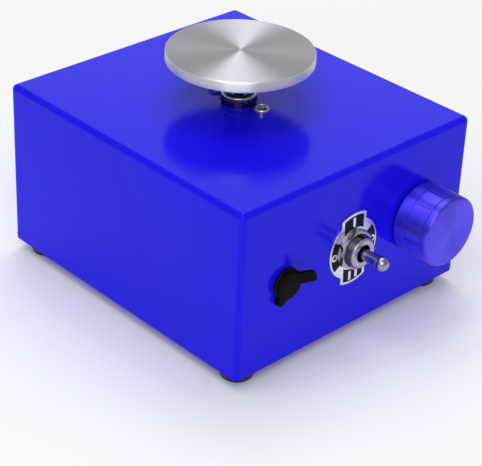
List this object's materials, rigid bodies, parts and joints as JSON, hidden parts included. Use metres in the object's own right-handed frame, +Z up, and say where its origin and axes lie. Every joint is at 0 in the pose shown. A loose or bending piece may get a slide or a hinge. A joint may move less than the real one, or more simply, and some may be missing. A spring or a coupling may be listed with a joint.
{
  "type": "tabletop pottery wheel",
  "caption": "Small tabletop electric pottery wheel: folded metal case with a flat turntable disc on top, a speed knob, a reversing toggle switch and a capped DC socket in front",
  "frame": {"origin": "on the table under the middle of the object's bounding box", "axes": "+X along the control panel towards the speed knob, -Y out of the control panel, +Z up along the wheel's axis"},
  "size_m": [0.135, 0.169, 0.108],
  "materials": {
    "case_coat": "glossy blue powder coat",
    "foot_rubber": "moulded",
    "zinc_screw": "bright zinc",
    "wheel_aluminium": "fine turned",
    "hub_steel": "turned",
    "motor_steel": "drawn and plated",
    "flux_steel": "black zinc",
    "magnet_ferrite": "sintered",
    "motor_plastic": "moulded nylon",
    "bearing_steel": "ground",
    "bronze": "sintered",
    "brass": "stamped",
    "carbon": "pressed carbon",
    "core_steel": "laminated",
    "copper": "enamelled wire",
    "knob_anodised": "blue anodised",
    "knob_core": "moulded",
    "pot_metal": "die-cast",
    "nickel": "nickel plated",
    "switch_plastic": "moulded phenolic",
    "legend_metal": "satin with black printed fields",
    "lever_chrome": "bright plated",
    "socket_plastic": "moulded",
    "cap_rubber": "moulded",
    "board_laminate": "solder mask",
    "terminal_plastic": "moulded",
    "header_plastic": "moulded",
    "sink_aluminium": "black anodised",
    "chip_plastic": "moulded",
    "capacitor_sleeve": "shrink sleeve",
    "wire_red": "insulation",
    "wire_black": "insulation",
    "wire_white": "insulation"
  },
  "bodies": {
    "case": {"housing": "case_coat", "base_plate": "case_coat", "foot_front_left": "foot_rubber", "foot_front_right": "foot_rubber", "foot_rear_left": "foot_rubber", "foot_rear_right": "foot_rubber", "foot_screws": "zinc_screw", "case_nuts": "zinc_screw", "motor_can": "motor_steel", "motor_flux_ring": "flux_steel", "motor_magnets": "magnet_ferrite", "motor_end_cap": "motor_plastic", "bearing_outer_ring": "bearing_steel", "motor_rear_bushing": "bronze", "motor_brushes": "carbon", "brush_holders": "brass", "motor_terminals": "brass", "motor_screws": "zinc_screw", "pot_housing": "pot_metal", "pot_washer": "nickel", "pot_nut": "nickel", "pot_terminals": "brass", "switch_plate": "legend_metal", "switch_bushing": "flux_steel", "switch_washer": "nickel", "switch_nut": "nickel", "switch_pivot_pin": "nickel", "switch_body": "switch_plastic", "switch_terminals": "brass", "dc_socket": "socket_plastic", "dc_socket_pin": "nickel", "dc_socket_nut": "nickel", "dc_socket_terminals": "brass", "dc_cap_ring": "cap_rubber", "controller_board": "board_laminate", "board_standoffs": "nickel", "board_screws": "zinc_screw", "board_terminal_strip": "terminal_plastic", "board_header": "header_plastic", "board_heat_sink": "sink_aluminium", "board_chips": "chip_plastic", "board_capacitors": "capacitor_sleeve", "wires_red": "wire_red", "wires_black": "wire_black", "pot_leads": "wire_white"},
    "wheel": {"wheel_head": "wheel_aluminium", "wheel_hub": "hub_steel", "hub_screws": "zinc_screw", "motor_shaft": "bearing_steel", "armature_core": "core_steel", "armature_windings": "copper", "commutator": "copper", "bearing_inner_ring": "bearing_steel"},
    "bearing_cage": {"bearing_balls": "bearing_steel"},
    "knob": {"knob_shell": "knob_anodised", "knob_insert": "knob_core", "pot_shaft": "pot_metal"},
    "lever": {"switch_lever": "lever_chrome"},
    "cap": {"dc_cap": "cap_rubber"}
  },
  "joints": [
    {"name": "wheel_spin", "type": "hinge", "parent": "case", "child": "wheel", "pos_m": [0, 0.01, 0.09], "axis": [0, 0, 1], "continuous": true},
    {"name": "ball_orbit", "type": "hinge", "parent": "case", "child": "bearing_cage", "pos_m": [0, 0.01, 0.084], "axis": [0, 0, 1], "continuous": true},
    {"name": "knob_turn", "type": "hinge", "parent": "case", "child": "knob", "pos_m": [0.0372, -0.0645, 0.046], "axis": [0, 1, 0], "range_deg": [0, 300]},
    {"name": "switch_toggle", "type": "hinge", "parent": "case", "child": "lever", "pos_m": [-0.0029, -0.066, 0.0451], "axis": [1, 0, 0], "range_deg": [-11, 11]},
    {"name": "cap_swing", "type": "hinge", "parent": "case", "child": "cap", "pos_m": [-0.04655, -0.0665, 0.03582], "axis": [0.866, 0, -0.5], "range_deg": [0, 110]}
  ],
  "couplings": [
    {"joint": "ball_orbit", "follows": "wheel_spin", "ratio": 0.3632}
  ]
}
